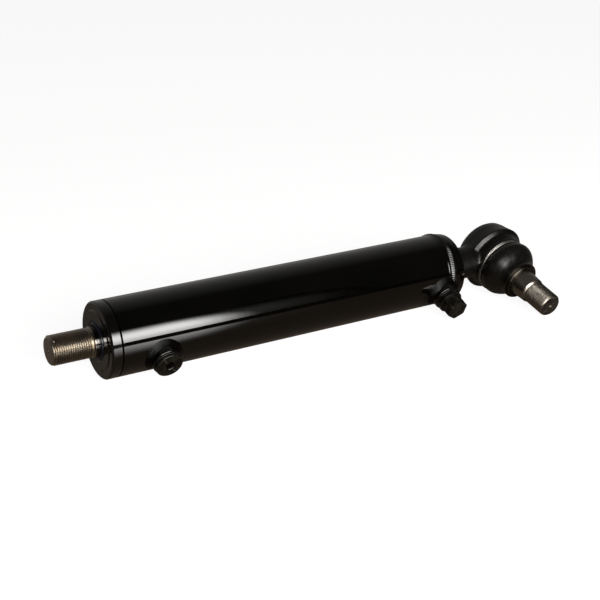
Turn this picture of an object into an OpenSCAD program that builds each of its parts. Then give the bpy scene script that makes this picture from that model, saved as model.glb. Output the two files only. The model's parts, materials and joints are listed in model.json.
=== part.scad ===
// Double-acting steering cylinder with a ball joint on its cap end.
// Millimetres. The origin is the ball's centre, on the cylinder's axis.
// +X runs along the cylinder towards the rod, +Y to the port side, +Z up.
// The cylinder lies as on a bench: on its tube, a plug's corner and the stud's tip.

/* [Barrel] */
// Outside diameter of the tube, gland and end cap
tube_d = 70; // [68:1:74]
// Bore of the tube
bore_d = 60; // [58:1:61]
// Distance from the ball's centre to the gland's outer face
gland_face_x = 442.4; // [436:0.1:460]
// Width of the gland's flange
flange_w = 10.6; // [8:0.2:12]
// Distance from the ball's centre to the outer face of the end cap
cap_face_x = 62.3; // [60:0.1:63]
// Length of the shallow taper on the end cap's edge
cap_taper_w = 7.7; // [4:0.1:8]
// Width of the weld between end cap and tube
girth_weld_w = 12; // [9:1:12]
// Height of the weld's crown above the tube
weld_crown = 0.6; // [0.2:0.1:1]

/* [Ports] */
// Angle of both ports below the horizontal
port_angle = 24.4; // [0:0.1:60]
// Distance from the ball's centre to the cap-end port
cap_port_x = 87.4; // [86:0.1:88]
// Distance from the ball's centre to the rod-end port
rod_port_x = 393.4; // [392:0.1:394]
// Outside diameter of a port boss
boss_d = 27.2; // [26:0.2:28]
// Height of a boss's end above the cylinder's axis
boss_top = 42; // [41:0.5:43]
// Nominal thread diameter of the ports
port_thread_d = 20; // [18:1:21]
// Diameter of the drilling into the bore
port_drill_d = 10; // [6:1:10]
// Diameter of a plug's collar
collar_d = 25; // [24:0.5:25.5]
// Hexagon of the cap-end plug across its flats
plug_hex = 19; // [17:1:19]
// Distance from the cylinder's axis to the end of the cap-end plug
plug_end = 60.7; // [56:0.1:61]
// Hexagon socket of the rod-end plug across its flats
socket_hex = 8; // [6:1:10]

/* [Rod and piston] */
// Diameter of the rod
rod_d = 28; // [28:1:28]
// Stroke of the piston
stroke = 250; // [200:1:250]
// Thread diameter of the rod's end
rod_thread_d = 27; // [24:1:27]
// Distance from the gland's face to the outer end of the rod
rod_out = 44.2; // [40:0.1:50]
// Smooth length of rod between the gland's face and the thread
rod_neck = 7.1; // [6:0.1:10]
// Radial clearance of every running fit
fit = 0.05; // [0.02:0.01:0.08]

/* [Ball joint] */
// Angle of the ball stud below the horizontal
stud_angle = 15.5; // [0:0.1:20]
// Diameter of the ball
ball_d = 38; // [38:1:38]
// Largest diameter of the ball joint's housing
housing_d = 70; // [68:0.5:70]
// Diameter of the shank between the housing and the end cap
shank_d = 32.5; // [28:0.5:34]
// Thread diameter of the stud
stud_thread_d = 24; // [20:1:24]
// Distance from the ball's centre to the stud's tip
stud_end = 96; // [92:0.5:98]

/* [Hidden] */
$fn = 96;
tube_r = tube_d / 2;
bore_r = bore_d / 2;
rod_r = rod_d / 2;
boss_r = boss_d / 2;
fit_r = rod_r + fit;

// Stations along the cylinder
tube_end_x = gland_face_x - flange_w;
weld_x0 = cap_face_x + cap_taper_w + 3.5;
weld_x1 = weld_x0 + girth_weld_w;
butt_x = (weld_x0 + weld_x1) / 2;
cap_nose_x = butt_x + 15.2;
play = 0.3;
piston_x0 = cap_nose_x + play;
gland_nose_x = tube_end_x - 52.4;
piston_x1 = gland_nose_x - play - stroke;
gland_step_x = tube_end_x - 30;
recess_x = butt_x + 0.5;
recess_r = 21;
nose_r = bore_r - 3.5;

// Grooves of the gland, from its face inwards
wiper_w = 7;
seal_x = gland_face_x - 19;
seal_w = 6.5;
guide_x = gland_face_x - 46;
guide_w = 20;
wiper_groove_r = 18;
seal_groove_r = 19;
guide_groove_r = rod_r + 2;
o_ring_x = tube_end_x - 24.4;
o_ring_w = 4.5;
o_ring_depth = 3;
backup_w = 1.6;
wire_x = tube_end_x - 9;
wire_r = 1.5;
raised_r = 27;
raised_h = 0.8;
lip_r = 16.4;
lip_h = 2.2;

// Piston and its spigot
piston_l = piston_x1 - piston_x0;
piston_r = bore_r - 0.15;
spigot_r = 11;
nut_h = 14;
nut_hex = 32;
nut_r = 10;
piston_seal_w = 6;
piston_seal_r = 25;
guide_ring_w = 8;
guide_ring_r = 27.5;
guide_ring_gap = 3;

// Ports and plugs, measured from the cylinder's axis
washer_t = 1.5;
washer_top = boss_top + washer_t;
cap_collar_t = 5;
rod_collar_t = 3;
plug_turn = -2.7;
port_thread_end = 31.5;
weld_toe_r = boss_r + 5;
weld_top_r = boss_r + 1.2;
weld_h = 4;

// Ball joint, measured along the stud from the ball's centre
ball_r = ball_d / 2;
housing_r = housing_d / 2;
shank_r = shank_d / 2;
neck_r = 11;
seat_r = 24.5;
seat_top = 8.5;
seat_bottom = -16;
cover_r = 25;
cover_top = -19.2;
cover_t = 1.3;
snap_ring_t = 1.2;
housing_bottom = -22;
housing_belly = -6;
housing_wide = 3;
housing_top = 15.4;
band_r = 31.2;
root_fillet = 5;
boot_gap = 0.3;
boot_big_r = 29.2;
boot_wire_d = 1.2;
taper_z0 = 46;
taper_z1 = 68.5;
taper_r0 = 14.1;
taper_r1 = 13.1;
stud_thread_r = stud_thread_d / 2;
stud_groove_w = 1.8;
collar_in_r = taper_r0 + fit;

// Puts a shape drawn along +Z onto the cylinder's axis at x
module along_x(x) {
    translate([x, 0, 0]) rotate([0, 90, 0]) children();
}

// Points +Z outwards, at an angle below the horizontal, from the axis at x
module outwards(x, angle) {
    translate([x, 0, 0]) rotate([-90 - angle, 0, 0]) children();
}

// A ring along +Z from 0 to h
module ring(r_in, r_out, h) {
    rotate_extrude() translate([r_in, 0]) square([r_out - r_in, h]);
}

// A solid of revolution on the cylinder's axis, drawn as [radius, x] points
module turned_x(points) {
    rotate([0, 90, 0]) rotate_extrude() polygon(points);
}

module barrel_tube() {
    color([0.03, 0.03, 0.03])
    difference() {
        turned_x([
            [bore_r, butt_x], [bore_r + 0.6, butt_x], [tube_r, weld_x1],
            [tube_r, tube_end_x - 0.4], [tube_r - 0.4, tube_end_x],
            [bore_r, tube_end_x]
        ]);
        for (x = [rod_port_x, cap_port_x])
            outwards(x, port_angle) cylinder(r = boss_r, h = tube_r + 1);
        rotate([0, 90, 0]) rotate_extrude()
            translate([bore_r, wire_x]) circle(r = wire_r, $fn = 32);
    }
}

module end_cap() {
    color([0.03, 0.03, 0.03])
    difference() {
        turned_x([
            [0, cap_face_x], [tube_r - 2.6, cap_face_x],
            [tube_r - 1.2, cap_face_x + 1], [tube_r, cap_face_x + cap_taper_w],
            [tube_r, weld_x0], [bore_r + 0.6, butt_x], [bore_r, butt_x],
            [bore_r, butt_x + 1], [nose_r, butt_x + 1], [nose_r, cap_nose_x],
            [recess_r, cap_nose_x], [recess_r, recess_x], [0, recess_x]
        ]);
        along_x(cap_face_x - 1) cylinder(r = shank_r, h = 10);
        outwards(cap_port_x, port_angle)
            translate([0, 0, bore_r - 3]) cylinder(r = boss_r, h = 20);
    }
}

module girth_weld() {
    color([0.05, 0.05, 0.05])
    difference() {
        turned_x([
            [bore_r + 0.6, butt_x], [tube_r, weld_x1],
            [tube_r + weld_crown * 0.7, weld_x1 - 2.5],
            [tube_r + weld_crown, butt_x],
            [tube_r + weld_crown * 0.7, weld_x0 + 2.5], [tube_r, weld_x0]
        ]);
        outwards(cap_port_x, port_angle) cylinder(r = boss_r, h = 60);
        difference() {
            outwards(cap_port_x, port_angle) cylinder(r = weld_toe_r, h = 60);
            along_x(weld_x0 - 20) cylinder(r = tube_r, h = 60);
        }
    }
}

module shank_weld() {
    color([0.05, 0.05, 0.05])
    turned_x([
        [shank_r, cap_face_x], [shank_r + 3.4, cap_face_x],
        [shank_r + 2.6, cap_face_x - 1.6], [shank_r + 1.2, cap_face_x - 2.8],
        [shank_r, cap_face_x - 3.4]
    ]);
}

// A boss set through the tube's wall, flush with the bore inside
module port_boss(x) {
    color([0.03, 0.03, 0.03])
    difference() {
        outwards(x, port_angle) rotate_extrude() polygon([
            [port_drill_d / 2, 20], [boss_r, 20], [boss_r, boss_top - 0.8],
            [boss_r - 0.8, boss_top], [port_thread_d / 2, boss_top],
            [port_thread_d / 2, port_thread_end],
            [port_drill_d / 2, port_thread_end]
        ]);
        along_x(x - 30) cylinder(r = bore_r, h = 60);
    }
}
module rod_port_boss() { port_boss(rod_port_x); }
module cap_port_boss() { port_boss(cap_port_x); }

// A fillet weld that follows the tube round the boss
module port_weld(x) {
    color([0.05, 0.05, 0.05])
    difference() {
        intersection() {
            along_x(x - 30) cylinder(r = tube_r + weld_h, h = 60);
            outwards(x, port_angle) rotate_extrude() polygon([
                [boss_r, bore_r - 5], [weld_toe_r, bore_r - 5],
                [weld_toe_r, tube_r + 0.8], [weld_top_r, tube_r + weld_h + 1],
                [boss_r, tube_r + weld_h + 1]
            ]);
        }
        along_x(x - 30) cylinder(r = tube_r, h = 60);
    }
}
module rod_port_weld() { port_weld(rod_port_x); }
module cap_port_weld() { port_weld(cap_port_x); }

module port_washer(x) {
    color([0.1, 0.1, 0.1])
    outwards(x, port_angle) translate([0, 0, boss_top])
        ring(port_thread_d / 2, collar_d / 2 + 0.4, washer_t);
}
module rod_port_washer() { port_washer(rod_port_x); }
module cap_port_washer() { port_washer(cap_port_x); }

// The threaded shaft and collar that both plugs share
module plug_body(collar_t) {
    rotate_extrude() polygon([
        [0, port_thread_end + 0.5], [port_thread_d / 2 - 1, port_thread_end + 0.5],
        [port_thread_d / 2, port_thread_end + 1.5], [port_thread_d / 2, washer_top],
        [collar_d / 2, washer_top], [collar_d / 2, washer_top + collar_t - 0.7],
        [collar_d / 2 - 0.7, washer_top + collar_t], [0, washer_top + collar_t]
    ]);
}

module rod_port_plug() {
    color([0.05, 0.05, 0.045])
    outwards(rod_port_x, port_angle) difference() {
        plug_body(rod_collar_t);
        translate([0, 0, washer_top + rod_collar_t - 6]) rotate(plug_turn)
            cylinder(d = socket_hex / cos(30), h = 7, $fn = 6);
    }
}

module cap_port_plug() {
    color([0.05, 0.05, 0.045])
    outwards(cap_port_x, port_angle) {
        plug_body(cap_collar_t);
        intersection() {
            translate([0, 0, washer_top + cap_collar_t]) rotate(90 + plug_turn)
                cylinder(d = plug_hex / cos(30), h = plug_end - washer_top - cap_collar_t,
                    $fn = 6);
            cylinder(r1 = plug_hex / 2 + 1.2 + plug_end, r2 = plug_hex / 2 + 1.2,
                h = plug_end);
        }
    }
}

module gland() {
    color([0.03, 0.03, 0.03])
    difference() {
        turned_x([
            [fit_r + 0.35, gland_nose_x], [nose_r - 2.5, gland_nose_x],
            [nose_r - 2.5, gland_step_x], [bore_r, gland_step_x + 1],
            [bore_r, tube_end_x], [tube_r, tube_end_x],
            [tube_r, gland_face_x - 1.4], [tube_r - 1.4, gland_face_x],
            [raised_r, gland_face_x], [raised_r, gland_face_x + raised_h],
            [wiper_groove_r, gland_face_x + raised_h],
            [wiper_groove_r, gland_face_x - wiper_w + raised_h],
            [fit_r + 0.35, gland_face_x - wiper_w + raised_h]
        ]);
        along_x(seal_x) ring(rod_r, seal_groove_r, seal_w);
        along_x(guide_x) ring(rod_r, guide_groove_r, guide_w);
        along_x(o_ring_x) ring(bore_r - o_ring_depth, bore_r + 1, o_ring_w + backup_w);
        rotate([0, 90, 0]) rotate_extrude()
            translate([bore_r, wire_x]) circle(r = wire_r, $fn = 32);
    }
}

module gland_lock_wire() {
    color("silver")
    rotate([0, 90, 0]) rotate_extrude()
        translate([bore_r, wire_x]) circle(r = wire_r, $fn = 32);
}

module gland_o_ring() {
    color([0.08, 0.08, 0.08])
    rotate([0, 90, 0]) rotate_extrude()
        translate([bore_r - o_ring_depth / 2, o_ring_x + o_ring_w / 2])
        circle(r = o_ring_depth / 2, $fn = 32);
}

module gland_backup_ring() {
    color("ivory")
    along_x(o_ring_x + o_ring_w) ring(bore_r - o_ring_depth, bore_r, backup_w);
}

module wiper_seal() {
    wiper_x0 = gland_face_x - wiper_w + raised_h;
    color([0.05, 0.05, 0.06])
    turned_x([
        [fit_r, wiper_x0 + 2], [fit_r + 1.2, wiper_x0], [wiper_groove_r, wiper_x0],
        [wiper_groove_r, gland_face_x + raised_h - 0.5], [lip_r, gland_face_x + raised_h - 0.2],
        [lip_r, gland_face_x + lip_h - 0.8], [lip_r - 0.8, gland_face_x + lip_h],
        [fit_r + 0.5, gland_face_x + lip_h], [fit_r, gland_face_x + lip_h - 0.6],
        [fit_r, gland_face_x + lip_h - 1.6], [fit_r + 0.8, gland_face_x - 1],
        [fit_r + 0.8, wiper_x0 + 3]
    ]);
}

module rod_seal() {
    color([0.55, 0.12, 0.1])
    turned_x([
        [fit_r, seal_x + 0.2], [seal_groove_r, seal_x], [seal_groove_r, seal_x + seal_w],
        [fit_r + 0.6, seal_x + seal_w], [fit_r, seal_x + seal_w - 2.5]
    ]);
}

module rod_guide_ring() {
    color("burlywood")
    along_x(guide_x) ring(fit_r, guide_groove_r, guide_w);
}

module piston_rod() {
    thread_r = rod_thread_d / 2;
    end_x = gland_face_x + rod_out;
    color([0.55, 0.52, 0.48])
    turned_x([
        [0, piston_x0 - nut_h - 0.5], [nut_r - 1, piston_x0 - nut_h - 0.5],
        [nut_r, piston_x0 - nut_h + 0.5], [nut_r, piston_x0],
        [spigot_r, piston_x0], [spigot_r, piston_x1], [rod_r - 0.5, piston_x1],
        [rod_r, piston_x1 + 0.5], [rod_r, gland_face_x + rod_neck - 0.5],
        [thread_r, gland_face_x + rod_neck], [thread_r, end_x - 1.6],
        [thread_r - 1.6, end_x], [0, end_x]
    ]);
}

module piston() {
    mid = (piston_x0 + piston_x1) / 2;
    color("dimgray")
    difference() {
        turned_x([
            [spigot_r, piston_x0], [piston_r - 1, piston_x0], [piston_r, piston_x0 + 1],
            [piston_r, piston_x1 - 1], [piston_r - 1, piston_x1], [spigot_r, piston_x1]
        ]);
        along_x(mid - piston_seal_w / 2) ring(piston_seal_r, bore_r, piston_seal_w);
        for (x = [piston_x0 + guide_ring_gap, piston_x1 - guide_ring_gap - guide_ring_w])
            along_x(x) ring(guide_ring_r, bore_r, guide_ring_w);
        along_x(piston_x1 - 2.5) ring(1, spigot_r + 2, 2.5);
    }
}

module piston_o_ring() {
    color([0.08, 0.08, 0.08])
    rotate([0, 90, 0]) rotate_extrude()
        translate([spigot_r + 1, piston_x1 - 1.25]) circle(r = 1, $fn = 32);
}

module piston_nut() {
    color("silver")
    difference() {
        along_x(piston_x0 - nut_h) cylinder(d = nut_hex / cos(30), h = nut_h, $fn = 6);
        along_x(piston_x0 - nut_h - 1) cylinder(r = nut_r, h = nut_h + 2);
    }
}

module piston_seal() {
    mid = (piston_x0 + piston_x1) / 2;
    color([0.1, 0.25, 0.2])
    along_x(mid - piston_seal_w / 2 + fit)
        ring(piston_seal_r + fit, bore_r - fit, piston_seal_w - 2 * fit);
}

module piston_guide_rings() {
    color("burlywood")
    for (x = [piston_x0 + guide_ring_gap, piston_x1 - guide_ring_gap - guide_ring_w])
        along_x(x + fit) ring(guide_ring_r + fit, bore_r - fit, guide_ring_w - 2 * fit);
}

module ball_joint_housing() {
    color([0.03, 0.03, 0.03])
    difference() {
        union() {
            outwards(0, stud_angle) rotate_extrude() polygon([
                [0, housing_bottom], [housing_r - 9, housing_bottom],
                [housing_r - 4, housing_bottom + 5], [housing_r - 1.8, housing_belly],
                [housing_r, housing_wide],
                [band_r + 0.6, housing_wide + 3], [band_r, housing_wide + 4],
                [band_r - 1.4, housing_top - 2.6], [band_r - 1.4, housing_top],
                [0, housing_top]
            ]);
            along_x(20) cylinder(r = shank_r, h = cap_face_x + 9 - 20);
            along_x(20) cylinder(r1 = shank_r + root_fillet, r2 = shank_r, h = 20);
        }
        outwards(0, stud_angle) rotate_extrude() polygon([
            [0, housing_bottom - 1], [cover_r, housing_bottom - 1], [cover_r, cover_top],
            [seat_r + fit, cover_top], [seat_r + fit, seat_top + fit],
            [17.6, seat_top + fit], [21.4, housing_top + 1], [0, housing_top + 1]
        ]);
        // Room for the boot beside the shank
        outwards(0, stud_angle) translate([0, 0, housing_top])
            cylinder(r = band_r, h = housing_d);
    }
}

module upper_ball_seat() {
    color("ivory")
    outwards(0, stud_angle) difference() {
        translate([0, 0, 0.1]) cylinder(r = seat_r, h = seat_top - 0.1);
        sphere(r = ball_r + fit);
    }
}

module lower_ball_seat() {
    color("ivory")
    outwards(0, stud_angle) difference() {
        translate([0, 0, seat_bottom]) cylinder(r = seat_r, h = -seat_bottom - 0.1);
        sphere(r = ball_r + fit);
        translate([0, 0, seat_bottom - 1]) cylinder(r = 8, h = 10);
    }
}

module preload_spring() {
    color("silver")
    outwards(0, stud_angle) rotate_extrude() polygon([
        [12, seat_bottom - 0.9], [24, cover_top], [24, cover_top + 0.8],
        [12, seat_bottom - 0.1]
    ]);
}

module housing_cover() {
    color("dimgray")
    outwards(0, stud_angle) translate([0, 0, cover_top - cover_t])
        cylinder(r = cover_r, h = cover_t);
}

module snap_ring() {
    color("silver")
    outwards(0, stud_angle) difference() {
        translate([0, 0, cover_top - cover_t - snap_ring_t])
            ring(cover_r - 3.5, cover_r, snap_ring_t);
        translate([0, -5, housing_bottom]) cube([cover_r + 1, 10, 3]);
    }
}

// The rubber boot's plain closed form: a hollow bell between housing and collar
module boot() {
    color([0.06, 0.06, 0.06])
    outwards(0, stud_angle) rotate_extrude() polygon([
        [22.6, housing_top + boot_gap], [boot_big_r, housing_top + boot_gap],
        [28.2, housing_top + 2.6],
        [29.4, housing_top + 6], [29.2, housing_top + 11], [27, housing_top + 17],
        [23.4, housing_top + 22.5], [20.6, housing_top + 26.5], [19.8, taper_z0 - boot_gap],
        [16.8, taper_z0 - boot_gap], [18.2, housing_top + 26], [21, housing_top + 21.5],
        [24.4, housing_top + 16], [26.6, housing_top + 10.5], [26.6, housing_top + 6],
        [25.2, housing_top + 3]
    ]);
}

module boot_wire() {
    color([0.4, 0.4, 0.4])
    outwards(0, stud_angle) rotate_extrude()
        translate([boot_big_r - 0.2, housing_top + 0.9 + boot_wire_d / 2])
        circle(d = boot_wire_d, $fn = 24);
}

// The steel collar that holds the boot's small end and slips on the stud
module boot_collar() {
    color([0.3, 0.3, 0.3])
    outwards(0, stud_angle) rotate_extrude() polygon([
        [collar_in_r, taper_z0], [20, taper_z0], [20, taper_z0 + 2.4],
        [17.5, taper_z0 + 2.4], [17.5, taper_z0 + 5], [collar_in_r, taper_z0 + 5]
    ]);
}

module ball_stud() {
    groove_z1 = taper_z1 + stud_groove_w;
    color([0.5, 0.47, 0.42])
    outwards(0, stud_angle) difference() {
        union() {
            sphere(r = ball_r);
            rotate_extrude() polygon([
                [0, 0], [neck_r, 0], [neck_r, 36], [taper_r0, taper_z0 - 1],
                [taper_r0, taper_z0 + 5], [taper_r1, taper_z1],
                [stud_thread_r - 1.2, taper_z1 + 0.8], [stud_thread_r - 1.2, groove_z1],
                [stud_thread_r, groove_z1 + 0.8], [stud_thread_r, stud_end - 1.6],
                [stud_thread_r - 1.6, stud_end], [0, stud_end]
            ]);
        }
        translate([0, 0, stud_end - 2.4]) cylinder(r1 = 0.4, r2 = 1.6, h = 2.5);
        translate([0, 0, -ball_r - 1]) cylinder(r = 7, h = 3);
    }
}

barrel_tube();
end_cap();
girth_weld();
shank_weld();
rod_port_boss();
cap_port_boss();
rod_port_weld();
cap_port_weld();
rod_port_plug();
cap_port_plug();
rod_port_washer();
cap_port_washer();
gland();
gland_lock_wire();
gland_o_ring();
gland_backup_ring();
wiper_seal();
rod_seal();
rod_guide_ring();
piston_rod();
piston();
piston_o_ring();
piston_nut();
piston_seal();
piston_guide_rings();
ball_joint_housing();
upper_ball_seat();
lower_ball_seat();
preload_spring();
housing_cover();
snap_ring();
boot();
boot_wire();
boot_collar();
ball_stud();
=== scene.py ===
"""The looks of a double-acting steering cylinder with a ball joint.

Shapes are drawn in millimetres, and build() turns them into metres once.
The frame is the CAD's: the origin at the ball's centre, +X along the cylinder
towards the rod, +Y to the port side and +Z up.
"""

import json
import math

import bmesh
import bpy
import numpy as np
from mathutils import Matrix, Vector


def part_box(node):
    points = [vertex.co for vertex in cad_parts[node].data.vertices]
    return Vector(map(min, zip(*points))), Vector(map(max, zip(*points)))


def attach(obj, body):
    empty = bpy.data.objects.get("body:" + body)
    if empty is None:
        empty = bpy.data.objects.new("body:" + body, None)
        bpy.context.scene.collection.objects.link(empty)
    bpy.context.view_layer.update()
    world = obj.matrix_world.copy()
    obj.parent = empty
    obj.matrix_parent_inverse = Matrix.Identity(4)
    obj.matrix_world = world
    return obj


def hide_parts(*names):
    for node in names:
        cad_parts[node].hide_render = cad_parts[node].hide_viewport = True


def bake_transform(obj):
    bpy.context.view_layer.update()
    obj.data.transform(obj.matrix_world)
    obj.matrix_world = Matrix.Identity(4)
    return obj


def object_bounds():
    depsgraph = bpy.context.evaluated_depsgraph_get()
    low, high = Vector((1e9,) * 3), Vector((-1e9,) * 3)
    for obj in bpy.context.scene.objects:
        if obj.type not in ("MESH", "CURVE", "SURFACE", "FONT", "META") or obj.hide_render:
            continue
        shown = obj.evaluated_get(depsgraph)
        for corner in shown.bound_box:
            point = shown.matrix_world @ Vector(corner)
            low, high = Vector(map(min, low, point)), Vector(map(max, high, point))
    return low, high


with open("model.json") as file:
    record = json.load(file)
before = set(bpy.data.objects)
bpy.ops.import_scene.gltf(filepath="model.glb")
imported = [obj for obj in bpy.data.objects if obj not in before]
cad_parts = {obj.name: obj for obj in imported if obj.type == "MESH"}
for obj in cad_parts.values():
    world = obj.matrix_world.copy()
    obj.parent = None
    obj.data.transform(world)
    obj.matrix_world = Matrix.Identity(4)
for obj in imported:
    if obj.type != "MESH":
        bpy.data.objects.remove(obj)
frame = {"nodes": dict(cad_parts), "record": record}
cad_low, cad_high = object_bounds()

MM = 0.001
MOUNTS = {mount["name"]: mount for mount in frame["record"]["mounts"]}


def low(node):
    """Lowest corner of a CAD node's box, in millimetres."""
    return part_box(node)[0] / MM


def high(node):
    """Highest corner of a CAD node's box, in millimetres."""
    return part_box(node)[1] / MM


# ---------------------------------------------------------------- sizes in mm

TUBE_R = high("barrel_tube").z
TUBE_END_X = high("barrel_tube").x
BORE_R = 30.0
RAISED_R = 27.0
RAISED_H = 0.8
GLAND_FACE_X = high("gland").x - RAISED_H
CAP_FACE_X = low("end_cap").x
CAP_NOSE_X = high("end_cap").x
CAP_TAPER_W = 7.7
WELD_X0 = low("girth_weld").x
WELD_X1 = high("girth_weld").x
LIP_R = 16.4
LIP_H = 2.2
WIPER_SEAT = 6.2

ROD_R = 14.0
ROD_END_X = high("piston_rod").x
ROD_TAIL_X = low("piston_rod").x
ROD_THREAD_R = MOUNTS["rod_thread"]["dims"]["r_mm"]
ROD_THREAD_X = GLAND_FACE_X + 7.1
ROD_PITCH = 2.0
THREAD_DEPTH = 0.6134  # of the pitch
PISTON_X0 = low("piston").x
PISTON_X1 = high("piston").x

PORT_DIR = Vector(MOUNTS["rod_port"]["axis"])
ROD_PORT_X = MOUNTS["rod_port"]["pos_m"][0] / MM
CAP_PORT_X = MOUNTS["cap_port"]["pos_m"][0] / MM
BOSS_R = 13.6
BOSS_TOP = 42.0
PORT_THREAD_R = 10.0
PORT_DRILL_R = 5.0
PORT_THREAD_END = 31.5
WASHER_T = 1.5
WASHER_TOP = BOSS_TOP + WASHER_T
COLLAR_R = 12.5
CAP_COLLAR_T = 5.0
ROD_COLLAR_T = 3.0
PLUG_HEX = 19.0
PLUG_END = 60.7
SOCKET_HEX = 8.0
SOCKET_DEPTH = 6.0
PLUG_TURN = math.radians(87.3)
PORT_WELD_H = 4.0
PORT_WELD_W = 4.6

STUD_DIR = Vector(MOUNTS["stud_thread"]["axis"])
BALL_R = 19.0
HOUSING_R = 35.0
HOUSING_BOTTOM = -22.0
HOUSING_TOP = 15.4
BAND_R = 31.2
SHANK_R = 16.25
COVER_R = 25.0
STUD_THREAD_R = MOUNTS["stud_thread"]["dims"]["r_mm"]
STUD_PITCH = 1.5
STUD_END = 96.0
TAPER_Z0 = 46.0
TAPER_Z1 = 68.5
TAPER_R0 = 14.1
TAPER_R1 = 13.1
GROOVE_Z1 = 70.3
COLLAR_Z1 = TAPER_Z0 + 5.0

# ------------------------------------------------------------------- placing


def facing(x, direction):
    """The matrix that turns a shape drawn along +Z to direction, from the axis at x.

    The shape's own +X stays the cylinder's +X when direction is square to it.
    """
    z = direction.normalized()
    side = Vector((1, 0, 0)) if abs(z.x) < 0.5 else Vector((0, 1, 0))
    y = z.cross(side).normalized()
    turn = Matrix((y.cross(z), y, z)).transposed().to_4x4()
    turn.translation = Vector((x, 0, 0))
    return turn


ON_AXIS = facing(0, Vector((1, 0, 0)))
ON_STUD = facing(0, STUD_DIR)
ON_ROD_PORT = facing(ROD_PORT_X, PORT_DIR)
ON_CAP_PORT = facing(CAP_PORT_X, PORT_DIR)

# The V stamped in the gland's face, and the punch mark on the rod's thread
STAKE = facing(GLAND_FACE_X, Vector((1, 0, 0))) @ Matrix.Translation(Vector((9.6, -26.4, RAISED_H)))
PUNCH_TURN = math.radians(56)
PUNCH_DIR = Vector((0, math.cos(PUNCH_TURN), math.sin(PUNCH_TURN)))
PUNCH_AT = Vector((ROD_END_X - 3.6, 0, 0)) + PUNCH_DIR * ROD_THREAD_R
PUNCH = Matrix.Translation(PUNCH_AT) @ facing(0, PUNCH_DIR)


def moved(points, matrix):
    """Points as an array, moved by a matrix."""
    m = np.array(matrix)
    return points @ m[:3, :3].T + m[:3, 3]


# -------------------------------------------------------------- mesh building


def rounded(corners, radius=0.3, segments=4):
    """A profile whose inner corners are small curves; a corner may give its own radius."""
    profile = [corners[0][:2]]
    for before, corner, after in zip(corners, corners[1:], corners[2:]):
        size = corner[2] if len(corner) > 2 else radius
        p = np.array(corner[:2], float)
        a = np.array(before[:2], float) - p
        b = np.array(after[:2], float) - p
        reach = min(size, 0.45 * np.linalg.norm(a), 0.45 * np.linalg.norm(b))
        if reach < 1e-3:
            profile.append(tuple(p))
            continue
        start = p + a / np.linalg.norm(a) * reach
        end = p + b / np.linalg.norm(b) * reach
        for t in np.linspace(0, 1, segments + 1):
            profile.append(tuple((1 - t) ** 2 * start + 2 * t * (1 - t) * p + t * t * end))
    profile.append(corners[-1][:2])
    return profile


def ring_profile(corners, radius=0.3, segments=4):
    """rounded() for a closed profile."""
    middle = tuple((np.array(corners[0][:2]) + np.array(corners[1][:2])) / 2)
    return rounded([middle, *corners[1:], corners[0], middle], radius, segments)


def grid_quads(rows, columns):
    """Quads between the rows and columns of a grid of points."""
    first = (np.arange(rows - 1)[:, None] * columns + np.arange(columns - 1)).ravel()
    return np.stack([first, first + 1, first + columns + 1, first + columns], 1)


def turned(profile, steps=144):
    """Points and quads of a solid of revolution round +Z from [radius, z] points."""
    angle = np.linspace(0, 2 * np.pi, steps + 1)
    r, z = np.array(profile, float).T
    points = np.stack(
        [np.outer(r, np.cos(angle)), np.outer(r, np.sin(angle)), np.outer(z, np.ones_like(angle))], -1
    )
    return points.reshape(-1, 3), grid_quads(len(profile), steps + 1)


def threaded(before, after, major_r, pitch, start, end, chamfer, steps=144):
    """A turned solid whose part from start to end is a right-hand 60 degree thread."""
    depth = THREAD_DEPTH * pitch
    crest = 0.05 * pitch
    turn = [
        (0.0, crest), (0.03, 0.0), (0.095, 0.0), (0.125, crest),
        (0.48, depth), (0.5625, depth * 1.04), (0.645, depth),
    ]
    turns = int((end - start) / pitch) + 3
    angle = np.linspace(0, 2 * np.pi, steps + 1)
    z = np.array([start + (n - 1 + t) * pitch for n in range(turns) for t, _ in turn])
    cut = np.array([d for _ in range(turns) for _, d in turn])
    z = np.clip(z[:, None] + angle * pitch / (2 * np.pi), start, end)
    run_in = np.clip((z - start) / (0.6 * pitch), 0, 1)
    cone = major_r - np.clip(z - (end - chamfer), 0, None)
    r = np.minimum(major_r - depth * (1 - run_in) - cut[:, None] * run_in, cone)
    helix = np.stack([r * np.cos(angle), r * np.sin(angle), z], -1)
    ends = []
    for profile in (before, after):
        pr, pz = np.array(profile, float).T
        ends.append(
            np.stack([np.outer(pr, np.cos(angle)), np.outer(pr, np.sin(angle)),
                      np.outer(pz, np.ones_like(angle))], -1)
        )
    points = np.concatenate([ends[0], helix, ends[1]])
    return points.reshape(-1, 3), grid_quads(len(points), steps + 1)


def joined(*meshes):
    """Several meshes' points and faces as one."""
    points, faces, count = [], [], 0
    for p, f in meshes:
        points.append(np.asarray(p, float))
        faces += [[int(i) + count for i in face] for face in f]
        count += len(p)
    return np.concatenate(points), faces


def prism(corners, z0, z1):
    """A straight prism over a polygon's [x, y] corners."""
    n = len(corners)
    points = [(*c, z0) for c in corners] + [(*c, z1) for c in corners]
    sides = [[i, (i + 1) % n, n + (i + 1) % n, n + i] for i in range(n)]
    return np.array(points, float), [list(range(n - 1, -1, -1)), list(range(n, 2 * n)), *sides]


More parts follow.
